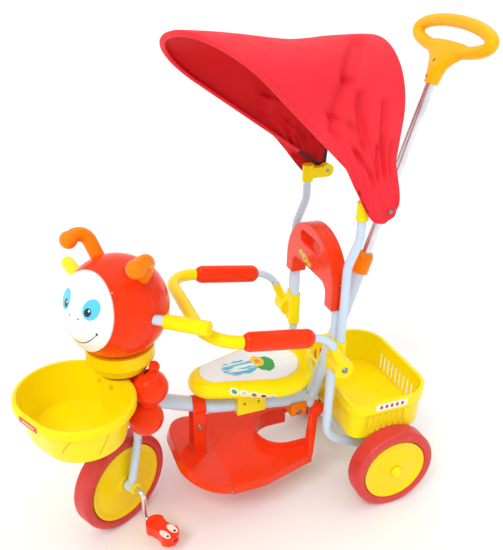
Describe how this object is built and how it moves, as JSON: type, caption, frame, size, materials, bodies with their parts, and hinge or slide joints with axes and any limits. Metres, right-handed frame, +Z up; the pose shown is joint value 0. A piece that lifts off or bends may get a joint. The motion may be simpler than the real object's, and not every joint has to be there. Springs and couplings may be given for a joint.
{
  "type": "toddler push along trike",
  "caption": "Toddler push along trike with a bug-headed steering column, pedals, guard bar, sunshade, two baskets and a telescoping push bar.",
  "frame": {"origin": "on the ground, midway between the rear wheels and under the rear axle", "axes": "the trike faces -Y, +X is the rider's left, +Z is up; the steering is turned 29 degrees to the rider's left at rest, as pictured"},
  "size_m": [0.368, 0.8294, 0.9401],
  "materials": {
    "frame_paint": "gloss",
    "chrome": "polished",
    "dark_steel": "satin",
    "yellow_plastic": "gloss",
    "red_plastic": "gloss",
    "orange_plastic": "gloss",
    "white_plastic": "gloss",
    "tyre": "satin",
    "cloth": "woven"
  },
  "bodies": {
    "frame": {"main_frame": "frame_paint", "rear_axle": "chrome", "axle_caps": "yellow_plastic", "steering_bushes": "white_plastic", "push_socket_collar": "orange_plastic", "seat_shell": "yellow_plastic", "seat_pad": "white_plastic", "seat_bracket": "yellow_plastic", "frame_clamp": "orange_plastic", "backrest": "red_plastic", "left_hinge_clamp": "yellow_plastic", "right_hinge_clamp": "yellow_plastic", "left_shade_post": "frame_paint", "right_shade_post": "frame_paint", "left_shade_bracket": "yellow_plastic", "right_shade_bracket": "yellow_plastic", "footrest": "red_plastic", "rear_basket": "yellow_plastic", "pivot_bolts": "dark_steel", "frame_screws": "dark_steel"},
    "guard_bar": {"arm_tube": "frame_paint", "arm_sleeve": "yellow_plastic", "left_arm_pad": "red_plastic", "right_arm_pad": "red_plastic", "left_arm_eye": "yellow_plastic", "right_arm_eye": "yellow_plastic"},
    "sunshade": {"front_bow": "dark_steel", "rear_bow": "dark_steel", "shade_cover": "cloth"},
    "push_bar": {"push_tube": "chrome", "push_handle": "orange_plastic"},
    "steering": {"fork": "frame_paint", "handlebar": "frame_paint", "left_grip": "yellow_plastic", "right_grip": "yellow_plastic", "head_front": "red_plastic", "head_back": "red_plastic", "face_plate": "white_plastic", "left_antenna": "orange_plastic", "right_antenna": "orange_plastic", "neck_collar": "yellow_plastic", "bug_body": "red_plastic", "front_basket": "yellow_plastic", "basket_screws": "dark_steel", "fork_bushes": "yellow_plastic"},
    "front_wheel": {"front_tyre": "tyre", "front_hub_left": "yellow_plastic", "front_hub_right": "yellow_plastic", "crank_rod": "chrome"},
    "left_pedal": {"left_pedal": "red_plastic"},
    "right_pedal": {"right_pedal": "red_plastic"},
    "left_rear_wheel": {"left_rear_tyre": "tyre", "left_rear_hub": "yellow_plastic"},
    "right_rear_wheel": {"right_rear_tyre": "tyre", "right_rear_hub": "yellow_plastic"}
  },
  "joints": [
    {"name": "steering_turn", "type": "hinge", "parent": "frame", "child": "steering", "pos_m": [0, -0.508, 0.281], "axis": [0, 0, 1], "range_deg": [-69, 11]},
    {"name": "front_wheel_spin", "type": "hinge", "parent": "steering", "child": "front_wheel", "pos_m": [0.01163, -0.52899, 0.1], "axis": [0.8746, 0.4848, 0], "continuous": true},
    {"name": "left_pedal_spin", "type": "hinge", "parent": "front_wheel", "child": "left_pedal", "pos_m": [0.11222, -0.47324, 0.038], "axis": [0.8746, 0.4848, 0], "continuous": true},
    {"name": "right_pedal_spin", "type": "hinge", "parent": "front_wheel", "child": "right_pedal", "pos_m": [-0.08895, -0.58474, 0.162], "axis": [0.8746, 0.4848, 0], "continuous": true},
    {"name": "left_rear_wheel_spin", "type": "hinge", "parent": "frame", "child": "left_rear_wheel", "pos_m": [0.153, 0, 0.09], "axis": [1, 0, 0], "continuous": true},
    {"name": "right_rear_wheel_spin", "type": "hinge", "parent": "frame", "child": "right_rear_wheel", "pos_m": [-0.153, 0, 0.09], "axis": [1, 0, 0], "continuous": true},
    {"name": "guard_bar_lift", "type": "hinge", "parent": "frame", "child": "guard_bar", "pos_m": [0, -0.124, 0.346], "axis": [-1, 0, 0], "range_deg": [0, 68]},
    {"name": "sunshade_tilt", "type": "hinge", "parent": "frame", "child": "sunshade", "pos_m": [0, -0.06, 0.648], "axis": [-1, 0, 0], "range_deg": [-10, 22]},
    {"name": "push_bar_slide", "type": "slide", "parent": "frame", "child": "push_bar", "axis": [0, 0.2924, 0.9563], "range_m": [-0.14, 0.06]}
  ]
}
